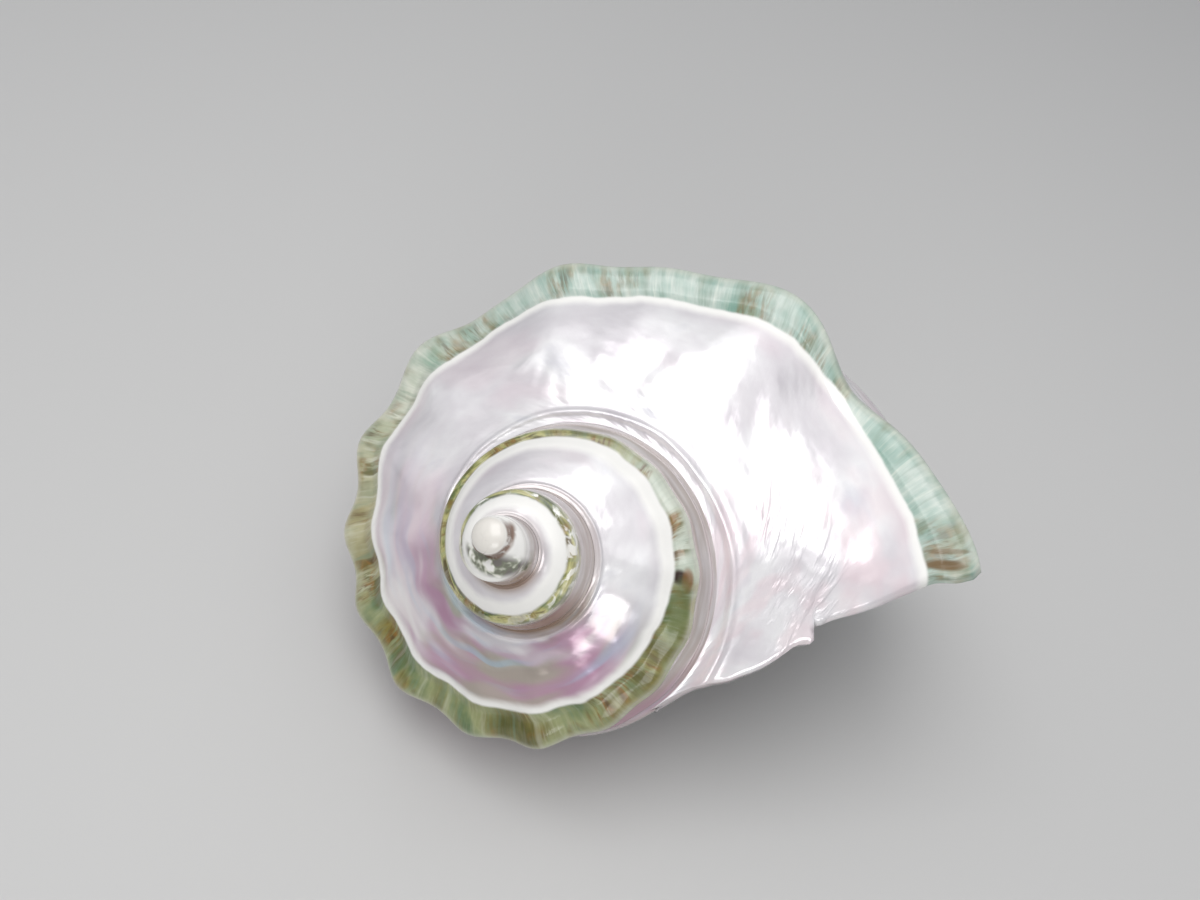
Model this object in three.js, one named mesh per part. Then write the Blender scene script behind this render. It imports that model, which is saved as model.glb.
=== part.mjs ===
// A great green turban, a large sea snail's shell, ground and polished down to its mother-of-pearl.
// The whole shell is one closed solid: a tube that grows wider as it winds down and round its axis,
// open at the mouth. It lies as it does on a table, mouth down and spire up and back.
// Millimetres, +Z up. The origin is on the table, at the middle of the shell's box.
//
// The shell is first made upright, in its own frame: the axis is Z, the apex is at the top near
// z = 0, and the growth angle t is 0 at the lip's shoulder corner and negative back to the apex.
import * as THREE from 'three';

// Size of the coil, in mm and radians
const LIP_RADIUS = 100;
const LIP_DEPTH = 73.5;
const FOOT_DEPTH = 115;
const WHORLS = 3.4;
const WALL = 4.5;
const LIP_EDGE = 2.6;
const CALLUS = 3.2;
const CALLUS_EDGE = 0.7;
const WORN_DEPTH = 1.5;
const APEX_TOP = 3;
const APEX_DROP = 2.6;
const APEX_RADIUS = 4.6;

// How the shell lies: turned about its axis, leant to the side, then leant back
const LEAN_BACK = THREE.MathUtils.degToRad(34);
const LEAN_SIDE = THREE.MathUtils.degToRad(-23.5);
const TURNED = THREE.MathUtils.degToRad(-0.34);

// Mesh: the lip leans 8 steps in every 45 ahead of the wall it lands on, so the seams share points
const TURN = 2 * Math.PI;
const STEPS = 45;
const STEP = TURN / STEPS;
const LIP_LEAN = 1.0;
const LIP_STEPS = 8;
const TUBE_TURNS = 1.6;
const TUBE_STRIDE = 3;
const FIRST_ANGLE = -TURN * WHORLS;

// Knobs on the shoulder keel: growth angle in degrees, height as a share of the keel's radius, half width
const KNOBS = [
  [0, 0.062, 12], [-32, -0.062, 9], [-51, 0.057, 11], [-74, 0.014, 8], [-95, 0.048, 9], [-117, -0.008, 5],
  [-130, 0.056, 8.5], [-155, 0.058, 7.5], [-177, 0.05, 7], [-197, 0.045, 7], [-221, 0.055, 8],
  [-246, 0.045, 8], [-268, 0.055, 8], [-291, 0.04, 8], [-312, 0.03, 8], [-332, 0.035, 8],
  [-353, 0.03, 8], [-374, 0.025, 8], [-396, 0.022, 8], [-418, 0.02, 8],
];

// The ramp between the seam and the keel is a flat part, then a ridge. Its width as a share of the
// ramp is listed against the growth angle in degrees.
const RIDGE_WIDTH = [
  [-1300, 0.16], [-640, 0.15], [-540, 0.13], [-430, 0.11], [-380, 0.14], [-330, 0.22],
  [-270, 0.235], [-180, 0.225], [-50, 0.225], [0, 0.185],
];

// Share of the way across the flat part, and height as a share of the ramp's width
const FLAT = [[0.05, 0.008], [0.1, 0.016], [0.25, 0.032], [0.444, 0.049], [0.468, 0.05], [0.76, 0.041]];

// Share of the ridge's width left before the keel, and height as a share of the ridge's width
const RIDGE = [[0.92, 0.035], [0.4, 0.145]];
const KEEL = FLAT.length + RIDGE.length + 1;

// The wall below the keel: share of the way down to the next seam, and how far it stands out
const WALL_BELOW = [[0.28, -0.022], [0.66, -0.006], [1, 0]];
const WALL_FOOT = KEEL + WALL_BELOW.length;

// The base and the pillar round the axis, in shares of the keel's radius
const BASE = [[0.014, 0.06], [-0.008, 0.17], [-0.075, 0.3], [-0.175, 0.415], [-0.36, 0.53], [-0.55, 0.6]];
const PILLAR = [[0.6, 3.5, 0.12], [0.3, 5.5, 0.38], [0.1, 5, 0.72], [0, 0, 1]];
const LAST = WALL_FOOT + BASE.length + PILLAR.length;

// How far the growth lines run back below the keel, in radians
const WALL_LEAN = LIP_LEAN - LIP_STEPS * TURN / 45;
const LEAN_BASE = [-0.15, -0.19, -0.25, -0.32, -0.41, -0.52, -0.62, -0.55, -0.4, -0.2];

// The lip stands further out beside the seam, as far as a step with a chip in it
const CHIP_AT = 0.372;

function smooth(x) {
  const c = Math.min(Math.max(x, 0), 1);
  return c * c * (3 - 2 * c);
}

function mix(a, b, f) {
  return a + (b - a) * f;
}

function keelRadius(t) {
  const swell = 1 + 0.2 * Math.exp(-(((t / TURN + 2.78) / 0.4) ** 2));
  return LIP_RADIUS * swell * Math.exp(0.1599 * t + 0.0006 * t * t);
}

function keelDepth(t) {
  return LIP_DEPTH * Math.exp(0.0555 * t - 0.0031 * t * t);
}

// The first whorl opens from a point as a round dome
function opening(t) {
  const q = Math.min(Math.max((t - FIRST_ANGLE) / 1.4, 0), 1);
  return Math.sqrt(1 - (1 - q) ** 2);
}

function knob(t) {
  const degrees = THREE.MathUtils.radToDeg(t);
  let height = -0.022 * smooth((degrees + 560) / 160);
  for (const [at, tall, half] of KNOBS) {
    height += tall * Math.exp(-(((degrees - at) / half) ** 2));
  }
  return height;
}

function ridgeWidth(t) {
  const degrees = THREE.MathUtils.radToDeg(t);
  const after = Math.max(RIDGE_WIDTH.findIndex(([at]) => at >= degrees), 1);
  const [low, narrow] = RIDGE_WIDTH[after - 1];
  const [high, wide] = RIDGE_WIDTH[after];
  return mix(narrow, wide, Math.min(Math.max((degrees - low) / (high - low), 0), 1));
}

// The oldest half whorl is worn to a smooth dome, which ends at the keel
function wornHeight(t, radius, height) {
  const dome = -APEX_TOP - APEX_DROP * (radius / APEX_RADIUS) ** 2;
  return mix(height, dome, smooth((-t / TURN - 3.05) / 0.25));
}

// Where the next whorl's seam lands on this one: radius and depth below the keel, in keel radii
function landing(t) {
  const turnsBack = -t / TURN;
  return [0.95 + 0.14 * smooth((turnsBack - 0.66) / 0.28), 0.24 + 0.42 * Math.max(turnsBack - 1, 0)];
}

function landingPoint(t) {
  if (t <= FIRST_ANGLE) {
    return [0, -APEX_TOP];
  }
  const [out, down] = landing(t);
  const radius = keelRadius(t) * opening(t);
  return [radius * out, -keelDepth(t) - radius * down];
}

// One point of the whorl's outline at growth angle t: [distance from the axis, height]
function outlinePoint(index, t) {
  const radius = keelRadius(t) * opening(t);
  const top = -keelDepth(t);
  const keel = [radius * (1 + knob(t)), top + 0.35 * radius * knob(t)];
  if (index <= KEEL) {
    const seam = landingPoint(t - TURN);
    const ridge = ridgeWidth(t);
    let across = 0;
    let rise = 0;
    if (index > FLAT.length) {
      const [left, ridgeRise] = index < KEEL ? RIDGE[index - FLAT.length - 1] : [0, 0];
      across = 1 - left * ridge;
      rise = ridgeRise * ridge;
    } else if (index > 0) {
      const [share, flatRise] = FLAT[index - 1];
      across = share * (1 - ridge);
      rise = flatRise;
    }
    const along = [keel[0] - seam[0], keel[1] - seam[1]];
    const height = mix(rise, 0.22 * Math.sin(Math.PI * across ** 0.8), smooth(-t / TURN - 2.2));
    const reach = seam[0] + along[0] * across - along[1] * height;
    return [reach, wornHeight(t, reach, seam[1] + along[1] * across + along[0] * height)];
  }
  const [out, down] = landing(t);
  if (index <= WALL_FOOT) {
    const [share, stand] = WALL_BELOW[index - KEEL - 1];
    const keelHeight = wornHeight(t, keel[0], keel[1]);
    return [mix(keel[0], radius * out, share) + radius * stand, mix(keelHeight, top - radius * down, share)];
  }
  if (index <= WALL_FOOT + BASE.length) {
    const [inset, depth] = BASE[index - WALL_FOOT - 1];
    return [radius * (out + inset), top - radius * (down + depth)];
  }
  const [share, thick, toFoot] = PILLAR[Math.min(index, LAST) - WALL_FOOT - BASE.length - 1];
  const [inset, depth] = BASE[BASE.length - 1];
  const height = top - radius * (down + depth);
  return [share * radius * (out + inset) + thick * opening(t), mix(height, -FOOT_DEPTH, toFoot)];
}

// How far across the ramp a place lies at the lip
function lipShare(place) {
  const ridge = ridgeWidth(0);
  if (place <= FLAT.length) {
    return place > 0 ? FLAT[place - 1][0] * (1 - ridge) : 0;
  }
  return place < KEEL ? 1 - RIDGE[place - FLAT.length - 1][0] * ridge : 1;
}

// How far a growth line runs ahead of the keel at this place on the outline, in radians
function lean(place) {
  if (place <= KEEL) {
    return LIP_LEAN * (1 - Math.sqrt(lipShare(place))) ** 1.35;
  }
  if (place <= WALL_FOOT) {
    return WALL_LEAN * WALL_BELOW[place - KEEL - 1][0];
  }
  return LEAN_BASE[place - WALL_FOOT - 1];
}

// How much further out the lip stands than its growth line, in radians
function lipShift(place) {
  if (place > KEEL) {
    return 0;
  }
  const share = lipShare(place);
  const before = share < CHIP_AT ? 0.02 + 0.042 * smooth((CHIP_AT - 0.01 - share) / 0.12) : 0;
  const chip = share > CHIP_AT ? 0.04 * Math.exp(-(((share - CHIP_AT) / 0.05) ** 2)) : 0;
  return before * smooth((share - 0.02) / 0.12) - chip + 0.022 * smooth((share - 0.8) / 0.12);
}

function turned(radius, height, t) {
  return [radius * Math.cos(t), -radius * Math.sin(t), height];
}

// Points are numbered once: each whorl's seam uses the points of the whorl before it
const points = [[0, 0, -APEX_TOP], [0, 0, -FOOT_DEPTH]];
const numbers = new Map();

function pointNumber(row, place) {
  const t = row * STEP + lean(place) + (row === 0 ? lipShift(place) : 0);
  if (t <= FIRST_ANGLE) {
    return 0;
  }
  if (place === LAST) {
    return 1;
  }
  if (place === 0) {
    return pointNumber(row - STEPS + LIP_STEPS, WALL_FOOT);
  }
  const key = `${row} ${place}`;
  if (!numbers.has(key)) {
    numbers.set(key, points.length);
    points.push(turned(...outlinePoint(place, t), t));
  }
  return numbers.get(key);
}

const faces = [];

function addTriangle(a, b, c) {
  if (a !== b && b !== c && c !== a) {
    faces.push(a, b, c);
  }
}

function addQuad(a, b, c, d) {
  addTriangle(a, b, c);
  addTriangle(a, c, d);
}

// Outside: the ramp and upper wall of every whorl, and the base of the last one
const lastHidden = LIP_STEPS - STEPS;
const firstRow = Math.floor((FIRST_ANGLE - LIP_LEAN) / STEP) - 1;
for (let row = firstRow; row < 0; row += 1) {
  const end = row >= lastHidden ? LAST : WALL_FOOT;
  for (let place = 0; place < end; place += 1) {
    addQuad(
      pointNumber(row, place), pointNumber(row + 1, place),
      pointNumber(row + 1, place + 1), pointNumber(row, place + 1),
    );
  }
}

// The mouth's edge: down the lip to the foot of the axis, then back up the wall inside the mouth
const mouth = [];
for (let place = 0; place <= LAST; place += 1) {
  mouth.push({ place, inner: false, point: pointNumber(0, place) });
}
for (let place = LAST - 1; place > WALL_FOOT; place -= 1) {
  mouth.push({ place, inner: true, point: pointNumber(lastHidden, place) });
}

// Inside: each ring follows the outline, pulled in towards the middle of the tube by the wall's thickness
function tubePoint(spot, back, depth) {
  const pillar = smooth((spot.place - LAST + 4) / 4) * LIP_STEPS * STEP / 2;
  const ahead = spot.inner ? LIP_STEPS * STEP - pillar : pillar;
  const shift = back === 0 && !spot.inner ? lipShift(spot.place) : 0;
  const t = back + lean(spot.place) + ahead + shift;
  const [radius, height] = outlinePoint(spot.place, spot.inner ? t - TURN : t);
  const size = keelRadius(t);
  const middle = [0.49 * size, -keelDepth(t) - 0.37 * size];
  const away = Math.hypot(radius - middle[0], height - middle[1]);
  const kept = Math.min(away - depth, 0.5 * size - depth) / away;
  return turned(mix(middle[0], radius, kept), mix(middle[1], height, kept), t);
}

let ring = mouth.map((spot) => spot.point);
const rings = Math.round(TUBE_TURNS * STEPS / TUBE_STRIDE);
for (let count = 0; count <= rings; count += 1) {
  const back = -count * TUBE_STRIDE * STEP;
  const grown = smooth(-back / 0.9);
  const next = [];
  for (const spot of mouth) {
    const edge = spot.inner ? CALLUS_EDGE : LIP_EDGE;
    const full = (spot.inner ? CALLUS : WALL) * (keelRadius(back) / LIP_RADIUS) ** 0.5;
    next.push(points.length);
    points.push(tubePoint(spot, back, mix(edge, full, grown)));
  }
  for (let spot = 0; spot < mouth.length; spot += 1) {
    const after = (spot + 1) % mouth.length;
    addQuad(ring[spot], next[spot], next[after], ring[after]);
  }
  ring = next;
}
const closing = points.length;
const end = -rings * TUBE_STRIDE * STEP - 0.35;
points.push(turned(0.49 * keelRadius(end), -keelDepth(end) - 0.37 * keelRadius(end), end));
for (let spot = 0; spot < ring.length; spot += 1) {
  addTriangle(ring[spot], closing, ring[(spot + 1) % ring.length]);
}

// Lay the shell down, and wear it flat where it touches the table
const pose = new THREE.Matrix4().makeRotationFromEuler(new THREE.Euler(LEAN_BACK, LEAN_SIDE, TURNED, 'XYZ'));
const laid = points.map((point) => new THREE.Vector3(...point).applyMatrix4(pose));
const box = new THREE.Box3().setFromPoints(laid);
const centre = box.getCenter(new THREE.Vector3());
for (const point of laid) {
  point.x -= centre.x;
  point.y -= centre.y;
  point.z = Math.max(point.z - box.min.z - WORN_DEPTH, 0);
}

const geometry = new THREE.BufferGeometry().setFromPoints(laid);
geometry.setIndex(faces);
geometry.computeVertexNormals();
const nacre = new THREE.MeshStandardMaterial({ color: 0xe6e0e2, roughness: 0.18, metalness: 0 });
const shell = new THREE.Mesh(geometry, nacre);
shell.name = 'shell';

const group = new THREE.Group();
group.add(shell);
export default group;
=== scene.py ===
import math

import bpy
import numpy as np
from mathutils import Matrix, Vector, noise


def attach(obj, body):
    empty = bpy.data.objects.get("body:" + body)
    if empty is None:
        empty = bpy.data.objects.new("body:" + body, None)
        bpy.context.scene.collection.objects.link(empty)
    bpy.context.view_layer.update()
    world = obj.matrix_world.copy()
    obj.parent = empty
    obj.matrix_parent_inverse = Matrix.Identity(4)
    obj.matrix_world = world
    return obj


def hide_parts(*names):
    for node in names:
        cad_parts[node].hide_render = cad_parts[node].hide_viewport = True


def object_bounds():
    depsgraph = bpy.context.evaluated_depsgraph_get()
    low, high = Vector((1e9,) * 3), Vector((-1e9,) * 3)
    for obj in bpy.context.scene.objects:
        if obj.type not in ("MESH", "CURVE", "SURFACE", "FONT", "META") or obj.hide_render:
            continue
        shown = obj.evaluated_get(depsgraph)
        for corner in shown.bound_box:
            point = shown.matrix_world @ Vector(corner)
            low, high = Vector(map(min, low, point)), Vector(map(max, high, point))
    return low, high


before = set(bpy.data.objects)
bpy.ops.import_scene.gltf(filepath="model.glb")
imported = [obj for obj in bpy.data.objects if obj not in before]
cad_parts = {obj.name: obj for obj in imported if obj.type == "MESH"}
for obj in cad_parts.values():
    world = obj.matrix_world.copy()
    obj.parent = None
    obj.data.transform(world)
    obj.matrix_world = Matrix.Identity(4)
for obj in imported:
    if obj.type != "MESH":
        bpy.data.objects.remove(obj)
cad_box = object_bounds()

# --- The shell ---------------------------------------------------------------------------------
# One natural piece: the shell of a great green turban, a tube of aragonite that the snail wound
# down and round its axis. It was ground and polished until the green outer layer was left only
# as a band on the knobbed shoulder, with bare mother-of-pearl everywhere else.

MM = 0.001
TURN = 2 * math.pi
LIP_RADIUS = 100.0
LIP_DEPTH = 73.5
GROWTH = 0.1599
FOOT_DEPTH = 115.0
WHORLS = 3.9
FIRST_ANGLE = -TURN * WHORLS
APEX_TOP = 3.0
APEX_DROP = 2.6
APEX_RADIUS = 4.6
WALL = 4.5
LIP_EDGE = 2.4
CALLUS = 3.2
CALLUS_EDGE = 0.5
WORN_DEPTH = 1.5
LIP_LEAN = 1.0
LEAN_BACK = 34.0
LEAN_SIDE = -23.5
TURNED = -0.34

# Knobs on the shoulder: growth angle in degrees, height in keel radii, half width in degrees
KNOBS = [
    (0, 0.062, 12), (-32, -0.062, 9), (-51, 0.057, 11), (-74, 0.014, 8), (-95, 0.048, 9),
    (-117, -0.008, 5), (-130, 0.056, 8.5), (-155, 0.058, 7.5), (-177, 0.05, 7), (-197, 0.045, 7),
    (-221, 0.055, 8), (-246, 0.045, 8), (-268, 0.055, 8), (-291, 0.04, 8), (-312, 0.03, 8),
    (-332, 0.035, 8), (-353, 0.03, 8), (-374, 0.025, 8), (-396, 0.022, 8), (-418, 0.02, 8),
]
# Width of the green band as a share of the ramp, at growth angles in degrees
BAND_AT = [
    -1300, -640, -540, -430, -380, -330, -270, -185, -168, -150, -127, -110, -90, -60, -44, -34, -22, 0]
BAND_SHARE = [
    0.16, 0.20, 0.17, 0.11, 0.14, 0.22, 0.235, 0.225, 0.19, 0.165, 0.185, 0.148, 0.175, 0.155, 0.124, 0.101,
    0.14, 0.146]
# The ramp's mother-of-pearl, from the seam out: share of its width, rise as a share of that width
RAMP = [
    (0.012, -0.001), (0.030, 0.002), (0.050, 0.008), (0.064, 0.020), (0.080, 0.022),
    (0.098, 0.014), (0.125, 0.013), (0.165, 0.022), (0.23, 0.030), (0.36, 0.044),
    (0.52, 0.052), (0.68, 0.047), (0.82, 0.032), (0.92, 0.014),
]
# The green ridge: share of the band's width left before the keel, rise as a share of the band's width
RIDGE = [(1.0, 0.02), (0.86, 0.05), (0.66, 0.11), (0.42, 0.145), (0.2, 0.125), (0.07, 0.065)]
KEEL = len(RAMP) + len(RIDGE) + 1
# Below the keel: depth as a share of the way to the next seam, how far it stands out in keel radii
UNDER = [
    (0.10, 0.004), (0.26, -0.020), (0.46, -0.030), (0.62, -0.010), (0.72, 0.000), (0.82, -0.006),
    (0.92, -0.014), (1.0, 0.0),
]
FOOT = KEEL + len(UNDER)
BASE = [(0.014, 0.06), (-0.008, 0.17), (-0.075, 0.3), (-0.175, 0.415), (-0.36, 0.53), (-0.55, 0.6)]
PILLAR = [(0.6, 3.5, 0.12), (0.3, 5.5, 0.38), (0.1, 5.0, 0.72), (0.0, 0.0, 1.0)]
LAST = FOOT + len(BASE) + len(PILLAR)


def smooth(x):
    c = np.clip(x, 0.0, 1.0)
    return c * c * (3 - 2 * c)


def mix(a, b, f):
    return a + (b - a) * f


def keel_radius(t):
    swell = 1 + 0.2 * np.exp(-(((t / TURN + 2.78) / 0.4) ** 2))
    return LIP_RADIUS * swell * np.exp(GROWTH * t + 0.0006 * t * t)


def keel_depth(t):
    return LIP_DEPTH * np.exp(0.0555 * t - 0.0031 * t * t)


def opening(t):
    """The first whorl opens from a point as a round dome."""
    q = np.clip((t - FIRST_ANGLE) / 1.4, 0.0, 1.0)
    return np.sqrt(1 - (1 - q) ** 2)


def knob(t):
    degrees = np.degrees(t)
    height = -0.022 * smooth((degrees + 560) / 160)
    for at, tall, half in KNOBS:
        height = height + tall * np.exp(-(((degrees - at) / half) ** 2))
    return height


def band_share(t):
    return np.interp(np.degrees(t), BAND_AT, BAND_SHARE)


def landing(t):
    """Where the next whorl's seam lands: radius and depth below the keel, in keel radii."""
    turns_back = -t / TURN
    return 0.95 + 0.14 * smooth((turns_back - 0.66) / 0.28), 0.24 + 0.42 * np.maximum(turns_back - 1, 0)


def worn_apex(t, place, r, z):
    """The oldest half whorl is worn to a smooth dome."""
    dome = -APEX_TOP - APEX_DROP * (r / APEX_RADIUS) ** 2
    on_wall = np.clip((place - KEEL) / (FOOT - KEEL), 0.0, 1.0)
    return mix(z, dome, smooth((-t / TURN - 3.05) / 0.25) * (1 - on_wall))


def landing_point(t):
    out, down = landing(t)
    radius = keel_radius(t) * opening(t)
    started = t > FIRST_ANGLE
    return np.where(started, radius * out, 0.0), np.where(started, -keel_depth(t) - radius * down, -APEX_TOP)


def outline_point(index, t):
    """A named point of the whorl's outline at growth angles t: distance from the axis, height."""
    seam_r, seam_z = landing_point(t - TURN)
    radius = keel_radius(t) * opening(t)
    top = -keel_depth(t)
    keel_r = radius * (1 + knob(t))
    keel_z = top + 0.35 * radius * knob(t)
    if index <= 0:
        return seam_r, seam_z
    if index < KEEL:
        band = band_share(t)
        if index <= len(RAMP):
            share, rise = RAMP[index - 1]
            across = share * (1 - band)
        else:
            left, rise = RIDGE[index - len(RAMP) - 1]
            across = 1 - left * band
            rise = rise * band
        along_r = keel_r - seam_r
        along_z = keel_z - seam_z
        early = smooth(-t / TURN - 2.2)
        height = mix(rise, 0.22 * np.sin(np.pi * across ** 0.8), early)
        return seam_r + along_r * across - along_z * height, seam_z + along_z * across + along_r * height
    if index == KEEL:
        return keel_r, keel_z
    out, down = landing(t)
    if index <= FOOT:
        share, stand = UNDER[index - KEEL - 1]
        foot_z = top - radius * down
        bulge = radius * stand
        return mix(keel_r, radius * out, share) + bulge, mix(keel_z, foot_z, share)
    if index <= FOOT + len(BASE):
        inset, depth = BASE[index - FOOT - 1]
        return radius * (out + inset), top - radius * (down + depth)
    share, thick, to_foot = PILLAR[min(index, LAST) - FOOT - len(BASE) - 1]
    inset, depth = BASE[-1]
    height = top - radius * (down + depth)
    return share * radius * (out + inset) + thick * opening(t), mix(height, -FOOT_DEPTH, to_foot)


def outline(place, t):
    """A point between the named ones, on a smooth curve through them (centripetal Catmull-Rom)."""
    low = int(math.floor(place + 1e-9))
    f = place - low
    if f < 1e-9:
        return outline_point(low, t)
    p1 = np.stack(outline_point(low, t))
    p2 = np.stack(outline_point(low + 1, t))
    p0 = np.stack(outline_point(low - 1, t)) if low > 0 else 2 * p1 - p2
    p3 = np.stack(outline_point(low + 2, t)) if low + 2 <= LAST else 2 * p2 - p1

    def spacing(a, b):
        return np.maximum(np.sqrt(np.hypot(a[0] - b[0], a[1] - b[1])), 1e-4)

    # Unequal spacing keeps the curve from overshooting beside short spans
    t1 = spacing(p0, p1)
    t2 = t1 + spacing(p1, p2)
    t3 = t2 + spacing(p2, p3)
    at = mix(t1, t2, f)
    a1 = mix(p0, p1, at / t1)
    a2 = mix(p1, p2, (at - t1) / (t2 - t1))
    a3 = mix(p2, p3, (at - t2) / (t3 - t2))
    b1 = mix(a1, a2, at / t2)
    b2 = mix(a2, a3, (at - t1) / (t3 - t1))
    return tuple(mix(b1, b2, (at - t1) / (t2 - t1)))


# How far growth lines run ahead of the keel: the seam is a sixth of a turn ahead, the base behind
LEAN_BASE = [-0.15, -0.19, -0.25, -0.32, -0.41, -0.52, -0.62, -0.55, -0.4, -0.2]
STEPS = 206
STEP = TURN / STEPS
LEAD = 8 * STEPS // 45
WALL_LEAN = LIP_LEAN - LEAD * STEP


def lip_share(place):
    """How far across the ramp a place lies at the lip."""
    shares = [0.0] + [share * (1 - BAND_SHARE[-1]) for share, rise in RAMP]
    shares += [1 - left * BAND_SHARE[-1] for left, rise in RIDGE] + [1.0]
    return float(np.interp(place, range(KEEL + 1), shares))


def lean(place):
    if place <= KEEL:
        return LIP_LEAN * (1 - math.sqrt(lip_share(place))) ** 1.35
    below = [WALL_LEAN * share for share, stand in UNDER] + LEAN_BASE
    return float(np.interp(place, range(KEEL, LAST + 1), [0.0] + below))


def columns():
    """Places along the outline, close together where it bends and wide apart where it is flat."""
    places = [0.0]
    for index in range(LAST):
        if index < 8:
            parts = 2
        elif 9 <= index <= 10:
            parts = 9
        elif index < len(RAMP) + 1:
            parts = 4
        elif index < KEEL:
            parts = 3
        elif index < FOOT:
            parts = 2
        elif index < FOOT + len(BASE):
            parts = 5
        else:
            parts = 4
        places += [index + (part + 1) / parts for part in range(parts)]
    return places


PLACES = columns()
KEEL_COLUMN = PLACES.index(float(KEEL))
FOOT_COLUMN = PLACES.index(float(FOOT))
LAST_COLUMN = len(PLACES) - 1
LEANS = np.array([lean(place) for place in PLACES])
SHARES = np.array([lip_share(place) for place in PLACES])

# Dents and flow marks that the polisher left in the ramp near the lip: growth angle in degrees,
# share of the ramp, length and width in mm, direction in degrees from the growth line, height in mm
MARKS = [
    (2, 0.46, 17, 1.7, 40, -0.22), (5, 0.41, 19, 1.9, 40, 0.2), (-3, 0.50, 15, 1.8, 38, 0.2),
    (0, 0.52, 13, 1.6, 42, -0.18), (-11, 0.38, 12, 2.6, 62, -0.22), (-25, 0.37, 20, 4.0, 78, 0.3),
    (-101, 0.56, 6.5, 3.0, 62, 0.42), (-105, 0.51, 5.0, 3.0, 62, 0.4), (-97, 0.47, 9.0, 3.2, 20, -0.4),
    (-91, 0.36, 10, 3.6, -28, -0.45), (-89, 0.31, 10, 3.2, -28, 0.35), (-66, 0.46, 10, 5.0, 0, -0.5),
    (-60, 0.53, 12, 4.0, 15, 0.4), (-50, 0.50, 13, 4.4, 5, -0.35), (-55, 0.66, 14, 3.4, 12, 0.32),
    (-33, 0.66, 12, 4.0, 30, 0.3), (-40, 0.58, 14, 4.6, 50, -0.3), (-81, 0.56, 14, 4.4, 0, 0.35),
    (-74, 0.68, 15, 3.6, -5, 0.3), (-20, 0.55, 18, 5.0, 60, 0.25),
]

# The lip's last millimetres: it stands further out beside the seam, as far as a step with a chip in it
CHIP_AT = 0.372


def lip_shift(row, share):
    step = 0.010 * smooth((CHIP_AT - share) / 0.010 + 0.5) + 0.052 * smooth((CHIP_AT - 0.01 - share) / 0.14)
    step = step * smooth((share - 0.02) / 0.12)
    chip = 0.018 * np.exp(-(((share - CHIP_AT - 0.012) / 0.014) ** 2))
    hollow = 0.022 * np.exp(-(((share - 0.43) / 0.09) ** 2)) * smooth((share - CHIP_AT) / 0.01 + 0.5)
    corner = 0.022 * smooth((share - 0.80) / 0.12) - 0.014 * smooth((share - 0.955) / 0.045)
    return (step - chip - hollow + corner) * smooth((row + 7) / 7)


def hook(row, share):
    """How far the step's tip reaches over the chip, in mm away from the axis."""
    tip = np.exp(-(((share - CHIP_AT + 0.012) / 0.016) ** 2)) * (share < CHIP_AT + 0.004)
    return 2.4 * tip * smooth((row + 3) / 3)


def relief(t, share, arc, across):
    """Soft lumps and marks on the ramp, in mm out of the surface."""
    lively = 0.16 + 0.34 * smooth((t + 2.4) / 1.4)
    fade = smooth((share - 0.2) / 0.2) * smooth((0.84 - share) / 0.16)
    height = np.zeros_like(t)
    for row in range(t.shape[0]):
        for column in range(t.shape[1]):
            if fade[row, column] > 0 and t[row, column] > -2.3 * TURN:
                lump = Vector((arc[row, column] / 17, across[row, column] / 15, 0.0))
                height[row, column] = noise.noise(lump) + 0.45 * noise.noise(lump * 2.3)
    height = height * lively * fade
    degrees = np.degrees(t)
    for at, where, long, wide, turn, depth in MARKS:
        du = np.radians(degrees - at) * keel_radius(np.radians(at)) * (0.45 + 0.55 * where)
        dv = (share - where) * 62 * (keel_radius(np.radians(at)) / LIP_RADIUS)
        c = math.cos(math.radians(turn))
        s = math.sin(math.radians(turn))
        reach = ((dv * c + du * s) / long * 2) ** 2 + ((du * c - dv * s) / wide * 2) ** 2
        height = height + depth * np.exp(-reach)
    return height


def shell_rows():
    """The outer surface as a grid: one row for each growth line, one column for each place."""
    first = int(math.floor((FIRST_ANGLE - LIP_LEAN) / STEP)) - 1
    rows = np.arange(first, 1)
    t = rows[:, None] * STEP + LEANS[None, :] + lip_shift(rows[:, None], SHARES[None, :])
    held = np.maximum(t, FIRST_ANGLE)
    radius = np.empty_like(t)
    height = np.empty_like(t)
    for column, place in enumerate(PLACES):
        radius[:, column], height[:, column] = outline(place, held[:, column])
        height[:, column] = worn_apex(held[:, column], place, radius[:, column], height[:, column])
        radius[:, column] += hook(rows, SHARES[column])
    begun = t > FIRST_ANGLE
    radius[~begun] = 0.0
    height[~begun] = -APEX_TOP
    grid = np.stack([radius * np.cos(t), -radius * np.sin(t), height], -1)
    steps = np.linalg.norm(np.diff(grid, axis=1), axis=2)
    run = np.concatenate([np.zeros((len(rows), 1)), np.cumsum(steps, axis=1)], axis=1)
    run = run - run[:, KEEL_COLUMN:KEEL_COLUMN + 1]
    return rows, t, grid, begun, run


rows, angles, grid, begun, keel_run = shell_rows()
ARC_RATE = 0.16
row_arc = keel_radius(rows * STEP) / ARC_RATE
arc = np.repeat(row_arc[:, None], len(PLACES), axis=1)
ramp_width = -keel_run[:, :1]
ramp_share = 1 + keel_run / np.maximum(ramp_width, 1e-3)

# Push the relief out along the surface's normals, leaving the seams where they are
along_rows = np.gradient(grid, axis=0)
along_columns = np.gradient(grid, axis=1)
normals = np.cross(along_rows, along_columns)
normals /= np.maximum(np.linalg.norm(normals, axis=2, keepdims=True), 1e-9)
ramp_columns = slice(1, KEEL_COLUMN)
bumps = relief(
    angles[:, ramp_columns], ramp_share[:, ramp_columns], arc[:, ramp_columns], keel_run[:, ramp_columns])
bumps[~begun[:, ramp_columns]] = 0
grid[:, ramp_columns] += normals[:, ramp_columns] * bumps[:, :, None]

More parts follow.
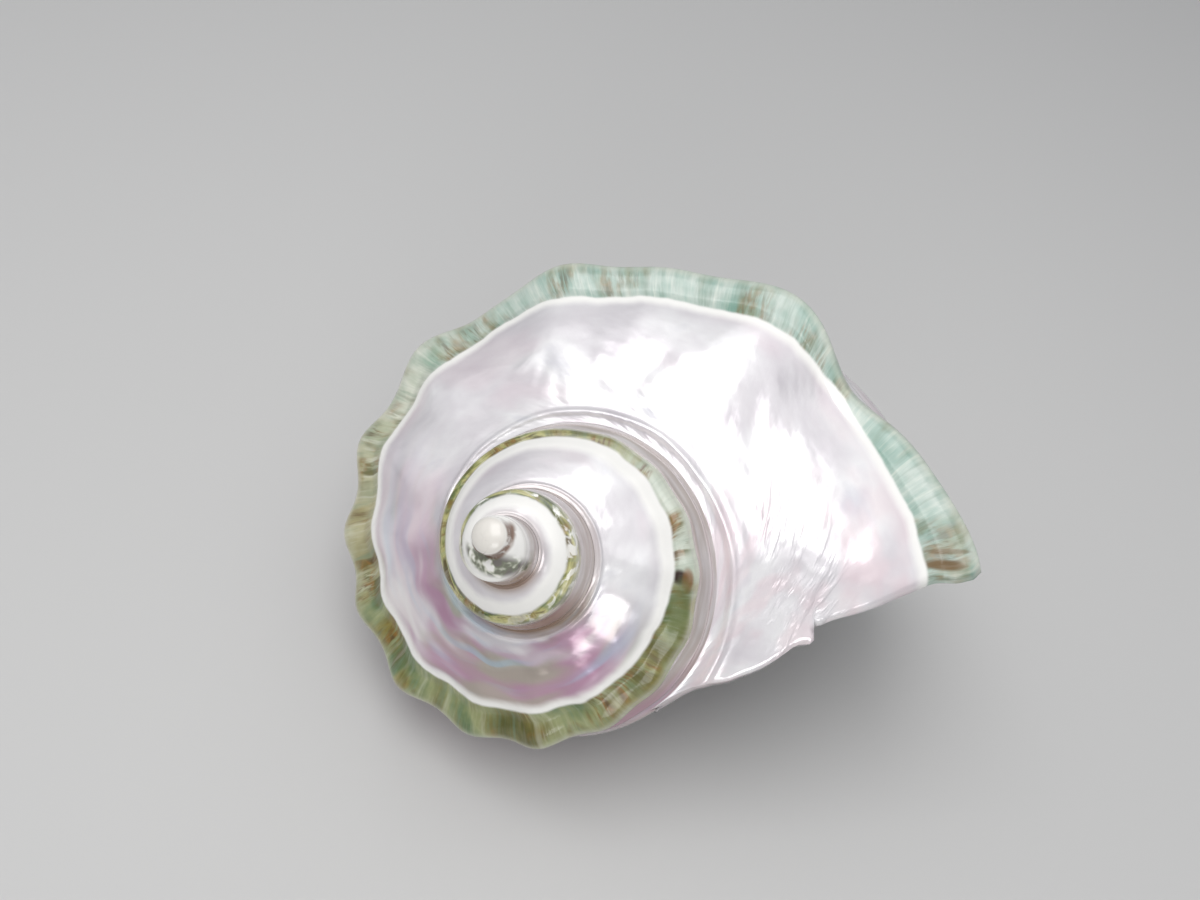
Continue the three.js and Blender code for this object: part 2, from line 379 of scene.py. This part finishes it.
# The nucleus, the first shell that the snail hatched with, stands as a small cap a little off the axis
NUCLEUS_X = 0.9
NUCLEUS_Y = 0.6
NUCLEUS_RADIUS = 4.3
NUCLEUS_TOP = -1.5
NUCLEUS_RISE = 2.5
from_nucleus = np.hypot(grid[..., 0] - NUCLEUS_X, grid[..., 1] - NUCLEUS_Y)
cap_share = np.clip(from_nucleus / NUCLEUS_RADIUS, 0.0, 1.0)
cap = NUCLEUS_TOP - NUCLEUS_RISE * (1 - np.sqrt(1 - cap_share ** 2))
capped = (from_nucleus < NUCLEUS_RADIUS) & (angles < -1.9 * TURN)
grid[..., 2] = np.where(capped, np.maximum(grid[..., 2], cap), grid[..., 2])

# Number the points once: each whorl's seam uses the points of the whorl before it
count = len(rows)
last_hidden = count - 1 - STEPS + LEAD
used = np.zeros(grid.shape[:2], bool)
used[:, 1:FOOT_COLUMN + 1] = True
used[last_hidden:, FOOT_COLUMN + 1:LAST_COLUMN] = True
used &= begun
numbers = np.zeros(grid.shape[:2], int)
numbers[used] = 2 + np.arange(used.sum())
numbers[:, LAST_COLUMN] = 1
shift = STEPS - LEAD
numbers[shift:, 0] = numbers[:count - shift, FOOT_COLUMN]
APEX_POINT = NUCLEUS_TOP - 0.05
apex = np.array([[0, 0, APEX_POINT], [0, 0, -FOOT_DEPTH]])
points = np.concatenate([apex, grid[used]])

# What the material needs to know at each corner of each face: place = (mm along the growth of the
# shell, mm from the keel, turns back from the lip), band = (band width in mm, share of the ramp, inside).
# The band's inner edge swings less than the keel does, so the band is wider at the knobs.
keel_turn = (rows * STEP)[:, None]
knob_part = 0.5 * keel_radius(keel_turn) * (knob(keel_turn) - 0.016)
band_width = np.repeat(band_share(keel_turn) * ramp_width + knob_part, len(PLACES), axis=1)
place_data = np.stack([arc, keel_run, -angles / TURN], -1)
band_data = np.stack([band_width, ramp_share, np.zeros_like(arc)], -1)


def grid_faces(numbers, place_data, band_data):
    corners = []
    for field in (numbers[..., None], place_data, band_data):
        corners.append(np.stack([field[:-1, :-1], field[1:, :-1], field[1:, 1:], field[:-1, 1:]], 2))
    return [field.reshape(-1, 4, field.shape[-1]) for field in corners]


outer_part = (slice(None), slice(None, FOOT_COLUMN + 1))
outer = grid_faces(numbers[outer_part], place_data[outer_part], band_data[outer_part])
base_part = (slice(last_hidden, None), slice(FOOT_COLUMN, None))
base = grid_faces(numbers[base_part], place_data[base_part], band_data[base_part])

# The inside: rings that follow the outline, pulled in by the wall's thickness, from the mouth inwards
TUBE_TURNS = 1.6
TUBE_OUT = 0.49
TUBE_DOWN = 0.37
mouth = [(column, False) for column in range(LAST_COLUMN + 1)]
mouth += [(column, True) for column in range(LAST_COLUMN - 1, FOOT_COLUMN, -1)]
mouth_numbers = np.array([numbers[last_hidden if inner else count - 1, column] for column, inner in mouth])
mouth_numbers[0] = numbers[count - 1, 0]
rim = np.array([0.15, 0.5, 0.85])
backs = [0.0]
while backs[-1] > -TUBE_TURNS * TURN:
    backs.append(backs[-1] - STEP * (1 + min(len(backs) / 12, 3)))
backs = np.concatenate([0 * rim, backs])
pull = smooth(-backs / 0.9)
edge_part = np.concatenate([rim, np.ones(len(backs) - len(rim))])
round_out = np.concatenate([0.012 * np.sin(np.pi * rim), np.zeros(len(backs) - len(rim))])
lip_part = smooth((backs / STEP + 7) / 7)
shrink = np.sqrt(keel_radius(backs) / LIP_RADIUS)
tube_points = np.zeros((len(backs), len(mouth), 3))
for stop, (column, inner) in enumerate(mouth):
    pillar = float(smooth((PLACES[column] - LAST + 4) / 4)) * LEAD * STEP / 2
    t = backs + LEANS[column] + (LEAD * STEP - pillar if inner else pillar)
    if not inner:
        t = t + round_out + lip_part * lip_shift(0, SHARES[column])
    r, z = outline(PLACES[column], t - TURN if inner else t)
    if not inner:
        r = r + hook(0, SHARES[column]) * smooth((backs / STEP + 3) / 3)
    middle_r = TUBE_OUT * keel_radius(t)
    middle_z = -keel_depth(t) - TUBE_DOWN * keel_radius(t)
    away = np.hypot(r - middle_r, z - middle_z)
    thin = (CALLUS_EDGE if inner else LIP_EDGE) * edge_part
    thick = (CALLUS if inner else WALL) * shrink
    depth = mix(thin, thick, pull)
    kept = np.minimum(away - depth, 0.5 * keel_radius(t) - depth) / away
    r = mix(middle_r, r, kept)
    z = mix(middle_z, z, kept)
    tube_points[:, stop] = np.stack([r * np.cos(t), -r * np.sin(t), z], -1)
end = backs[-1] - 0.3
end_r = TUBE_OUT * keel_radius(end)
end_z = -keel_depth(end) - TUBE_DOWN * keel_radius(end)
closing = [[end_r * math.cos(end), -end_r * math.sin(end), end_z]]
start = len(points)
tube_numbers = start + np.arange(tube_points.shape[0] * len(mouth)).reshape(tube_points.shape[:2])
points = np.concatenate([points, tube_points.reshape(-1, 3), closing])
tube_numbers = np.concatenate([mouth_numbers[None, :], tube_numbers])
tube_numbers = np.concatenate([tube_numbers, tube_numbers[:, :1]], axis=1)
inward = np.concatenate([[0.0], -backs])
tube_place = np.zeros(tube_numbers.shape + (3,))
tube_place[..., 0] = (keel_radius(-inward) / ARC_RATE)[:, None]
tube_place[..., 1] = np.linspace(-60, 60, tube_numbers.shape[1])[None, :]
tube_place[..., 2] = (inward / TURN)[:, None]
tube_band = np.zeros(tube_numbers.shape + (3,))
tube_band[..., 2] = 1.0
tube = grid_faces(tube_numbers, tube_place, tube_band)

quads = np.concatenate([outer[0], base[0], tube[0]])[..., 0]
quad_place = np.concatenate([outer[1], base[1], tube[1]])
quad_band = np.concatenate([outer[2], base[2], tube[2]])

# Quads beside a seam or the apex may have two corners on one point: those become triangles
faces = []
face_place = []
face_band = []
for quad, place_corners, band_corners in zip(quads.tolist(), quad_place, quad_band):
    kept = [k for k in range(4) if quad[k] != quad[(k + 1) % 4]]
    if len(set(quad[k] for k in kept)) >= 3:
        faces.append([quad[k] for k in kept])
        face_place.extend(place_corners[kept])
        face_band.extend(band_corners[kept])
closing_number = len(points) - 1
for stop in range(len(mouth)):
    faces.append([tube_numbers[-1, stop], closing_number, tube_numbers[-1, stop + 1]])
    face_place.extend([tube_place[-1, stop]] * 3)
    face_band.extend([tube_band[-1, stop]] * 3)

# The spire's colours need mm sideways from the nucleus, and mm above a level some way down the spire
SPIRE_LEVEL = -30.0
spire_place = np.zeros((len(points), 3), np.float32)
spire_place[:, 0] = points[:, 0] - NUCLEUS_X
spire_place[:, 1] = points[:, 1] - NUCLEUS_Y
spire_place[:, 2] = points[:, 2] - SPIRE_LEVEL

# Lay the shell down, wear it flat where it touches the table, and stand its box on the CAD's box
pose = Matrix.Rotation(math.radians(LEAN_BACK), 3, "X")
pose = pose @ Matrix.Rotation(math.radians(LEAN_SIDE), 3, "Y")
pose = pose @ Matrix.Rotation(math.radians(TURNED), 3, "Z")
points = points @ np.array(pose).T
low = points.min(axis=0)
high = points.max(axis=0)
cad_low = np.array(cad_box[0])
cad_high = np.array(cad_box[1])
offset = (cad_low + cad_high) / 2 / MM - (low + high) / 2
offset[2] = cad_low[2] / MM - low[2] - WORN_DEPTH
points = points + offset
points[:, 2] = np.maximum(points[:, 2], cad_low[2] / MM)

mesh = bpy.data.meshes.new("shell_surface")
mesh.from_pydata((points * MM).tolist(), [], faces)
mesh.update()
place_layer = mesh.attributes.new("place", "FLOAT_VECTOR", "CORNER")
place_layer.data.foreach_set("vector", np.array(face_place, np.float32).ravel())
band_layer = mesh.attributes.new("band", "FLOAT_VECTOR", "CORNER")
band_layer.data.foreach_set("vector", np.array(face_band, np.float32).ravel())
spire_layer = mesh.attributes.new("spire", "FLOAT_VECTOR", "POINT")
spire_layer.data.foreach_set("vector", spire_place.ravel())
mesh.shade_smooth()
shell = bpy.data.objects.new("polished_shell", mesh)
bpy.context.scene.collection.objects.link(shell)


def linear(code):
    """An sRGB hex colour as linear RGBA."""
    values = [int(code[k:k + 2], 16) / 255 for k in (1, 3, 5)]
    return [v / 12.92 if v <= 0.04045 else ((v + 0.055) / 1.055) ** 2.4 for v in values] + [1.0]


def add(tree, kind, inputs=None, **settings):
    """Adds a node with its settings; each input is a value or another node's output."""
    node = tree.nodes.new(kind)
    for name, value in settings.items():
        setattr(node, name, value)
    for name, value in (inputs or {}).items():
        if isinstance(value, bpy.types.NodeSocket):
            tree.links.new(value, node.inputs[name])
        else:
            node.inputs[name].default_value = value
    return node


# Mother-of-pearl: aragonite plates that were ground and buffed to a gloss. It is off-white with a
# mauve-grey cast, turns pink and green in broad soft zones, and its gloss is a sharp one over a
# wide one. The band is the shell's own green outer layer, celadon with rust flecks and a cream edge
# that is partly a painted highlight along the keel.
material = bpy.data.materials.new("polished_mother_of_pearl")
material.use_nodes = True
tree = material.node_tree
tree.nodes.clear()
place = add(tree, "ShaderNodeAttribute", attribute_name="place")
band = add(tree, "ShaderNodeAttribute", attribute_name="band")
place_parts = add(tree, "ShaderNodeSeparateXYZ", {"Vector": place.outputs["Vector"]})
band_parts = add(tree, "ShaderNodeSeparateXYZ", {"Vector": band.outputs["Vector"]})
arc_mm = place_parts.outputs["X"]
keel_mm = place_parts.outputs["Y"]
turns = place_parts.outputs["Z"]
band_mm = band_parts.outputs["X"]
share = band_parts.outputs["Y"]
inside = band_parts.outputs["Z"]


def math_node(operation, a, b=0.0):
    return add(tree, "ShaderNodeMath", {0: a, 1: b}, operation=operation).outputs[0]


def fade_node(value, low, high, start=0.0, end=1.0):
    inputs = {"Value": value, "From Min": low, "From Max": high, "To Min": start, "To Max": end}
    return add(tree, "ShaderNodeMapRange", inputs, interpolation_type="SMOOTHSTEP").outputs["Result"]


def pattern(along, across, seed, detail=2.0, rough=0.5, distortion=0.0):
    """Noise with its grain sized in mm along and across the growth of the shell."""
    scaled = add(tree, "ShaderNodeCombineXYZ", {
        "X": math_node("DIVIDE", arc_mm, along), "Y": math_node("DIVIDE", keel_mm, across), "Z": seed})
    inputs = {"Vector": scaled.outputs[0], "Scale": 1.0, "Detail": detail, "Roughness": rough,
              "Distortion": distortion}
    return add(tree, "ShaderNodeTexNoise", inputs).outputs["Fac"]


def mix_colour(factor, a, b):
    node = tree.nodes.new("ShaderNodeMix")
    node.data_type = "RGBA"
    for index, value in ((0, factor), (6, a), (7, b)):
        if isinstance(value, bpy.types.NodeSocket):
            tree.links.new(value, node.inputs[index])
        else:
            node.inputs[index].default_value = value
    return node.outputs[2]


def colours(value, stops):
    node = add(tree, "ShaderNodeValToRGB", {"Fac": value})
    ramp = node.color_ramp
    while len(ramp.elements) < len(stops):
        ramp.elements.new(0.5)
    for element, (at, code) in zip(ramp.elements, stops):
        element.position = at
        element.color = linear(code)
    return node.outputs["Color"]


# Place on the spire: mm from the nucleus, and how far round towards the lower left it is, -1 to 1
spire = add(tree, "ShaderNodeAttribute", attribute_name="spire")
spire_parts = add(tree, "ShaderNodeSeparateXYZ", {"Vector": spire.outputs["Vector"]})
dx = spire_parts.outputs["X"]
dy = spire_parts.outputs["Y"]
on_spire = fade_node(spire_parts.outputs["Z"], 14.0, 16.0)
apex_mm = math_node("SQRT", math_node("ADD", math_node("MULTIPLY", dx, dx), math_node("MULTIPLY", dy, dy)))
low_left = math_node("ADD", math_node("MULTIPLY", dx, -0.6), math_node("MULTIPLY", dy, -0.8))
low_left = math_node("DIVIDE", low_left, math_node("MAXIMUM", apex_mm, 1.0))

# Nacre: a quiet off-white with mauve-grey clouds. Where it was ground deepest, half a turn back from
# the lip, soft bands of pink, green-grey and blue run along the growth of the shell; the pale streaks among
# them are a painted sheen.
clouds = pattern(24.0, 17.0, 1.3, detail=4.0)
nacre = colours(clouds, [(0.3, "#D9D3D7"), (0.48, "#E7E3E5"), (0.62, "#F2F0F0"), (0.75, "#DFDDE2")])
deep_zone = math_node("MULTIPLY", fade_node(turns, 0.36, 0.60), fade_node(turns, 0.95, 0.84))
for along, across, seed, low, high, strength, code in [
    (58.0, 14.0, 7.7, 0.33, 0.56, 0.85, "#AE7898"), (44.0, 11.0, 3.4, 0.46, 0.64, 0.55, "#A3B08A"),
    (60.0, 6.0, 5.9, 0.48, 0.66, 0.50, "#A9C6DA"), (40.0, 10.0, 8.3, 0.50, 0.66, 0.60, "#F3F1EC"),
]:
    streaky = fade_node(pattern(along, across, seed, distortion=0.3), low, high)
    zone = math_node("MULTIPLY", deep_zone, streaky)
    nacre = mix_colour(math_node("MULTIPLY", zone, strength), nacre, linear(code))
faint = fade_node(pattern(38.0, 20.0, 12.7), 0.48, 0.66, 0.0, 0.2)
nacre = mix_colour(faint, nacre, linear("#E9C9D3"))
pink_clouds = fade_node(pattern(16.0, 12.0, 4.9), 0.42, 0.62)
pink_zone = math_node("MULTIPLY", fade_node(turns, 0.12, 0.0), pink_clouds)
nacre = mix_colour(math_node("MULTIPLY", pink_zone, 0.28), nacre, linear("#F0CDD2"))
older = fade_node(turns, 1.7, 2.5)
nacre = mix_colour(older, nacre, linear("#EDEAEE"))

# Darker along the seams, and painted shade: the wall under the shoulder is darkened in streaks along its
# grooves, and on the lower left side the spire's walls and the channels beside the seams get a brown painted
# shade.
seam_mm = math_node("MULTIPLY", math_node("MULTIPLY", share, arc_mm), 0.1)
# Darker along the seams
seam_darkening = math_node("MULTIPLY", fade_node(seam_mm, 1.3, 0.45), fade_node(turns, -0.02, 0.03))
wall_part = fade_node(keel_mm, 1.5, 4.5)
# Painted shade on the wall under the shoulder, streaked along its grooves
under_shoulder_shade = math_node("MULTIPLY", wall_part, fade_node(turns, 0.55, 0.95, 0.1, 0.6))
under_shoulder_shade = math_node("MULTIPLY", under_shoulder_shade, fade_node(pattern(16.0, 2.2, 17.6), 0.3, 0.6, 0.45, 1.0))
nacre = mix_colour(under_shoulder_shade, nacre, linear("#A3907F"))
wall_shadow = math_node("MULTIPLY", wall_part, fade_node(low_left, -0.1, 0.7, 0.0, 0.8))
wall_shadow = math_node("MULTIPLY", wall_shadow, fade_node(turns, 1.2, 1.6))
nacre = mix_colour(wall_shadow, nacre, linear("#85603E"))
# Brown painted shade in the channel beside each seam, on the lower left side of the spire
channel_shade = math_node("MULTIPLY", fade_node(seam_mm, 5.6, 1.0), fade_node(turns, 0.4, 0.75))
channel_shade = math_node("MULTIPLY", channel_shade, fade_node(share, 0.0, 0.02))
channel_shade = math_node("MULTIPLY", channel_shade, fade_node(low_left, -0.2, 0.7, 0.3, 0.85))
nacre = mix_colour(channel_shade, nacre, linear("#94704E"))
nacre = mix_colour(math_node("MULTIPLY", seam_darkening, 0.8), nacre, linear("#4E443E"))

# Green layer: celadon and grey-teal in patches near the lip, olive from half a turn back and darkened there
# as painted shade on the lower side, darker and browner on the small whorls. Rust flecks lie in short strokes
# along the growth lines, in clusters.
patches = pattern(13.0, 20.0, 3.1, detail=4.0)
young = colours(patches, [
    (0.32, "#7C9F90"), (0.44, "#9DB5A9"), (0.54, "#BCC8BE"), (0.66, "#8BAA9D"), (0.78, "#BCBD9F")])
side = colours(patches, [
    (0.32, "#A8A888"), (0.44, "#C8C09C"), (0.55, "#DAD4BC"), (0.66, "#AAB290"), (0.78, "#A8985F")])
# Olive half a turn back, its colours darkened as painted shade on the lower side of the band
middle = colours(patches, [
    (0.32, "#52521F"), (0.43, "#726F3C"), (0.53, "#93986A"), (0.64, "#5F7349"), (0.76, "#584414")])
old_patches = pattern(8.0, 2.6, 14.3, detail=3.0, distortion=0.6)
old = colours(old_patches, [(0.36, "#33420F"), (0.46, "#6A7430"), (0.55, "#BDB87A"), (0.66, "#5A4A18")])
green = mix_colour(fade_node(turns, 0.28, 0.5), young, side)
green = mix_colour(fade_node(turns, 0.42, 0.58), green, middle)
pale_side = math_node("MULTIPLY", fade_node(turns, 0.93, 1.0), fade_node(turns, 1.16, 1.08))
green = mix_colour(math_node("MULTIPLY", pale_side, 0.9), green, linear("#C6CDC0"))
green = mix_colour(fade_node(turns, 1.12, 1.3), green, old)
streaks = pattern(2.0, 22.0, 5.5, detail=3.0, rough=0.6, distortion=0.35)
pale_streaks = math_node("MULTIPLY", fade_node(streaks, 0.48, 0.76), fade_node(turns, 0.35, 0.6, 0.42, 0.2))
green = mix_colour(pale_streaks, green, linear("#ECECDF"))
green = mix_colour(math_node("MULTIPLY", fade_node(streaks, 0.5, 0.28), 0.38), green, linear("#6A8670"))
inner_mm = math_node("ADD", keel_mm, band_mm)
inner_part = math_node("DIVIDE", inner_mm, math_node("MAXIMUM", band_mm, 1.0))
cluster = fade_node(pattern(9.0, 20.0, 2.2, detail=2.0), 0.46, 0.60)
strokes = fade_node(pattern(1.6, 10.0, 8.8, detail=3.0, rough=0.6, distortion=0.4), 0.40, 0.60)
flecks = math_node("MULTIPLY", math_node("MULTIPLY", cluster, strokes), fade_node(inner_part, 1.0, 0.5))
fleck_colour = colours(pattern(6.0, 6.0, 4.4), [(0.40, "#543604"), (0.5, "#845A10"), (0.6, "#565010")])
stain = math_node("MULTIPLY", cluster, fade_node(pattern(5.0, 8.0, 6.6, detail=3.0), 0.42, 0.64))
stain = math_node("MULTIPLY", stain, fade_node(turns, 0.25, 0.55, 0.35, 0.65))
flecks = math_node("MULTIPLY", flecks, fade_node(turns, 0.25, 0.55, 0.5, 0.85))
green = mix_colour(stain, green, linear("#8C7A33"))
green = mix_colour(flecks, green, fleck_colour)
# Cream edge along the keel: partly the layer's own cream, partly a painted highlight on the rounded keel
outer_mm = math_node("SUBTRACT", 3.2, keel_mm)
rim_width = fade_node(turns, 0.4, 1.1, 5.4, 3.6)
rim_cream_and_highlight = fade_node(math_node("SUBTRACT", outer_mm, rim_width), 1.4, -1.2)
green = mix_colour(math_node("MULTIPLY", rim_cream_and_highlight, 0.35), green, linear("#E4E3D2"))


def spot(at_turns, at_mm, along, across):
    """A soft round mark at one place on the shell, its half sizes in mm."""
    size = TURN * LIP_RADIUS * math.exp(-GROWTH * TURN * at_turns)
    du = math_node("MULTIPLY", math_node("SUBTRACT", turns, at_turns), size / along)
    dv = math_node("MULTIPLY", math_node("SUBTRACT", keel_mm, at_mm), 1.0 / across)
    square = math_node("ADD", math_node("MULTIPLY", du, du), math_node("MULTIPLY", dv, dv))
    return fade_node(square, 1.3, 0.2)


# Marks that stand out: two rust stains along the lip at the shoulder, and a turn back a dark brown
# spot with a brown smear on its outer side and a green one below it
for at_turns, at_mm, along, across, code, strength in [
    (0.001, -10.0, 1.6, 6.0, "#6A4A0C", 0.85), (0.0065, -8.0, 0.8, 6.0, "#6A4A0C", 0.6),
    (0.974, -4.6, 2.2, 2.2, "#2A1204", 1.0),
    (0.972, -2.6, 3.4, 1.6, "#7A4A14", 0.8), (0.94, -3.6, 9.0, 3.0, "#5A652C", 0.75),
]:
    ragged = math_node("MULTIPLY", spot(at_turns, at_mm, along, across), fade_node(streaks, 0.25, 0.42))
    green = mix_colour(math_node("MULTIPLY", ragged, strength), green, linear(code))

# White line: the thin chalky layer that shows where the grinding stopped
wobble = math_node("MULTIPLY", math_node("SUBTRACT", pattern(9.0, 60.0, 6.1, detail=2.0), 0.5), 2.4)
edge_mm = math_node("ADD", inner_mm, wobble)
line_width = fade_node(turns, 0.85, 1.05, 1.8, 4.2)
line_mask = fade_node(math_node("ADD", edge_mm, line_width), -2.2, 0.9)
line_mask = math_node("MAXIMUM", line_mask, fade_node(turns, 2.15, 2.5))
on_ramp = fade_node(outer_mm, -0.5, 0.8)
outside = math_node("SUBTRACT", 1.0, inside)
white_mask = math_node("MULTIPLY", math_node("MULTIPLY", line_mask, on_ramp), outside)
base_colour = mix_colour(white_mask, nacre, linear("#F7F5F0"))

# The band fades and breaks on the third whorl. A brown seam rings the nucleus on its low side, and
# green-brown mottling lies below it on the first whorl.
breaks = fade_node(pattern(3.4, 2.4, 9.7, detail=3.0, distortion=0.8), 0.36, 0.52)
whole = fade_node(turns, 2.2, 1.5)
kept = math_node("MAXIMUM", whole, math_node("MULTIPLY", breaks, fade_node(turns, 2.7, 2.45)))
green_mask = math_node("MULTIPLY", fade_node(edge_mm, -0.5, 0.7), on_ramp)
green_mask = math_node("MULTIPLY", math_node("MULTIPLY", green_mask, outside), kept)
base_colour = mix_colour(green_mask, base_colour, green)
speckle = add(tree, "ShaderNodeTexNoise", {"Vector": spire.outputs["Vector"], "Scale": 0.32, "Detail": 2.0})
grain = speckle.outputs["Fac"]
low_side = math_node("SUBTRACT", math_node("MULTIPLY", dx, 0.55), math_node("MULTIPLY", dy, 0.84))
ring = math_node("MULTIPLY", fade_node(apex_mm, 3.9, 4.3), fade_node(apex_mm, 5.3, 4.5))
ring = math_node("MULTIPLY", ring, fade_node(low_side, -2.0, 0.5))
ring = math_node("MULTIPLY", math_node("MULTIPLY", ring, on_spire), fade_node(grain, 0.30, 0.50))
below_side = math_node("SUBTRACT", math_node("MULTIPLY", dx, -0.22), math_node("MULTIPLY", dy, 0.975))
mottle = math_node("MULTIPLY", fade_node(apex_mm, 4.3, 4.8), fade_node(apex_mm, 9.4, 8.0))
mottle = math_node("MULTIPLY", mottle, fade_node(below_side, 2.2, 4.8))
mottle = math_node("MULTIPLY", math_node("MULTIPLY", mottle, on_spire), fade_node(grain, 0.36, 0.52))
mottle_colour = colours(grain, [(0.40, "#8E9440"), (0.48, "#46560A"), (0.58, "#2C1C02")])
base_colour = mix_colour(math_node("MULTIPLY", mottle, 0.85), base_colour, mottle_colour)
base_colour = mix_colour(math_node("MULTIPLY", ring, 0.85), base_colour, linear("#6A3C08"))
base_colour = mix_colour(math_node("MULTIPLY", fade_node(apex_mm, 4.3, 3.7, 0.0, 0.7), on_spire), base_colour,
                         linear("#D6D0C6"))

growth_lines = pattern(0.7, 30.0, 9.1, detail=2.0)
fine_bump = add(tree, "ShaderNodeBump", {
    "Height": growth_lines, "Strength": math_node("ADD", math_node("MULTIPLY", green_mask, 0.25), 0.03),
    "Distance": 0.0004})

# Fine flow marks slant across the ramp close to the lip, and the whole gloss is faintly rippled
slant = add(tree, "ShaderNodeCombineXYZ", {
    "X": math_node("DIVIDE", math_node("ADD", arc_mm, keel_mm), 4.5),
    "Y": math_node("DIVIDE", math_node("SUBTRACT", arc_mm, keel_mm), 20.0), "Z": 2.7})
flow = add(tree, "ShaderNodeTexNoise", {"Vector": slant.outputs[0], "Scale": 1.0, "Detail": 2.0})
near_lip = math_node("MULTIPLY", fade_node(turns, 0.085, 0.03), fade_node(share, 0.3, 0.4))
near_lip = math_node("MULTIPLY", near_lip, fade_node(share, 0.68, 0.52))
flow_bump = add(tree, "ShaderNodeBump", {
    "Height": fade_node(flow.outputs["Fac"], 0.42, 0.68), "Strength": math_node("MULTIPLY", near_lip, 0.3),
    "Distance": 0.0008,
    "Normal": fine_bump.outputs["Normal"]})
ripple_bump = add(tree, "ShaderNodeBump", {
    "Height": pattern(13.0, 10.0, 15.2, detail=2.0), "Strength": math_node("MULTIPLY", outside, 0.22),
    "Distance": 0.002, "Normal": flow_bump.outputs["Normal"]})
roughness = math_node("ADD", 0.22, math_node("MULTIPLY", green_mask, 0.06))
metal = math_node("MULTIPLY", math_node("SUBTRACT", 1.0, white_mask), 0.3)
shader = add(tree, "ShaderNodeBsdfPrincipled", {
    "Base Color": base_colour, "Roughness": roughness, "Metallic": metal, "IOR": 1.5,
    "Coat Weight": 0.5, "Coat Roughness": 0.08, "Coat IOR": 1.55,
    "Normal": ripple_bump.outputs["Normal"]})
add(tree, "ShaderNodeOutputMaterial", {"Surface": shader.outputs["BSDF"]})
mesh.materials.append(material)

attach(shell, "root")
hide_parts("shell")

# --- Table, light and camera -------------------------------------------------------------------
# A plain pale table under three nested soft lamps, the smallest the brightest for its size, with a low
# panel in front and a weak one at the left. The camera looks down at the spire from 27 cm above it.

floor_mesh = bpy.data.meshes.new("table_top")
half = 3.0
floor_corners = [(-half, -half, 0), (half, -half, 0), (half, half, 0), (-half, half, 0)]
floor_mesh.from_pydata(floor_corners, [], [(0, 1, 2, 3)])
floor = bpy.data.objects.new("table_top", floor_mesh)
bpy.context.scene.collection.objects.link(floor)
floor_paint = bpy.data.materials.new("pale_table")
floor_paint.use_nodes = True
floor_shader = floor_paint.node_tree.nodes["Principled BSDF"]
floor_shader.inputs["Base Color"].default_value = linear("#C9C8C6")
floor_shader.inputs["Roughness"].default_value = 0.7
floor_mesh.materials.append(floor_paint)

world = bpy.data.worlds.new("studio")
world.use_nodes = True
world.node_tree.nodes["Background"].inputs["Color"].default_value = linear("#B9BCC2")
world.node_tree.nodes["Background"].inputs["Strength"].default_value = 0.6
bpy.context.scene.world = world


def lamp(name, at, size, power, aim=(0.0, 0.0, 0.05)):
    data = bpy.data.lights.new(name, "AREA")
    data.shape = "RECTANGLE"
    data.size = size[0]
    data.size_y = size[1]
    data.energy = power
    lamp_object = bpy.data.objects.new(name, data)
    lamp_object.location = at
    lamp_object.rotation_euler = (Vector(aim) - Vector(at)).to_track_quat("-Z", "Y").to_euler()
    bpy.context.scene.collection.objects.link(lamp_object)


lamp("overhead_inner", (-0.12, -0.10, 0.75), (0.5, 0.66), 2.3, aim=(-0.12, -0.10, 0.0))
lamp("overhead_middle", (0.0, -0.10, 0.78), (1.2, 1.2), 2.0, aim=(0.0, -0.10, 0.0))
lamp("overhead_outer", (0.1, -0.15, 0.85), (2.3, 2.3), 2.9, aim=(0.1, -0.15, 0.0))
lamp("front_panel", (-0.15, -1.25, 0.42), (0.7, 0.5), 3.2)
lamp("left_panel", (-1.3, 0.35, 0.65), (1.1, 1.0), 0.9)
bpy.context.scene.view_settings.view_transform = "Standard"

# How the shell is turned as the camera sees it, and where the camera is from the shell, in lip radii
SEEN = Matrix.Rotation(math.radians(-7.88), 3, "X")
SEEN = SEEN @ Matrix.Rotation(math.radians(-15.75), 3, "Y")
SEEN = SEEN @ Matrix.Rotation(math.radians(-2.8), 3, "Z")
turn = pose @ SEEN.transposed()
eye = Vector((0.2575, 0.1867, 2.6747)) * LIP_RADIUS
camera_data = bpy.data.cameras.new("camera")
camera_data.lens = 37.5
camera_data.sensor_width = 36.0
camera_data.clip_start = 0.01
camera = bpy.data.objects.new("camera", camera_data)
camera.matrix_world = Matrix.Translation((turn @ eye + Vector(offset)) * MM) @ turn.to_4x4()
bpy.context.scene.collection.objects.link(camera)
bpy.context.scene.camera = camera
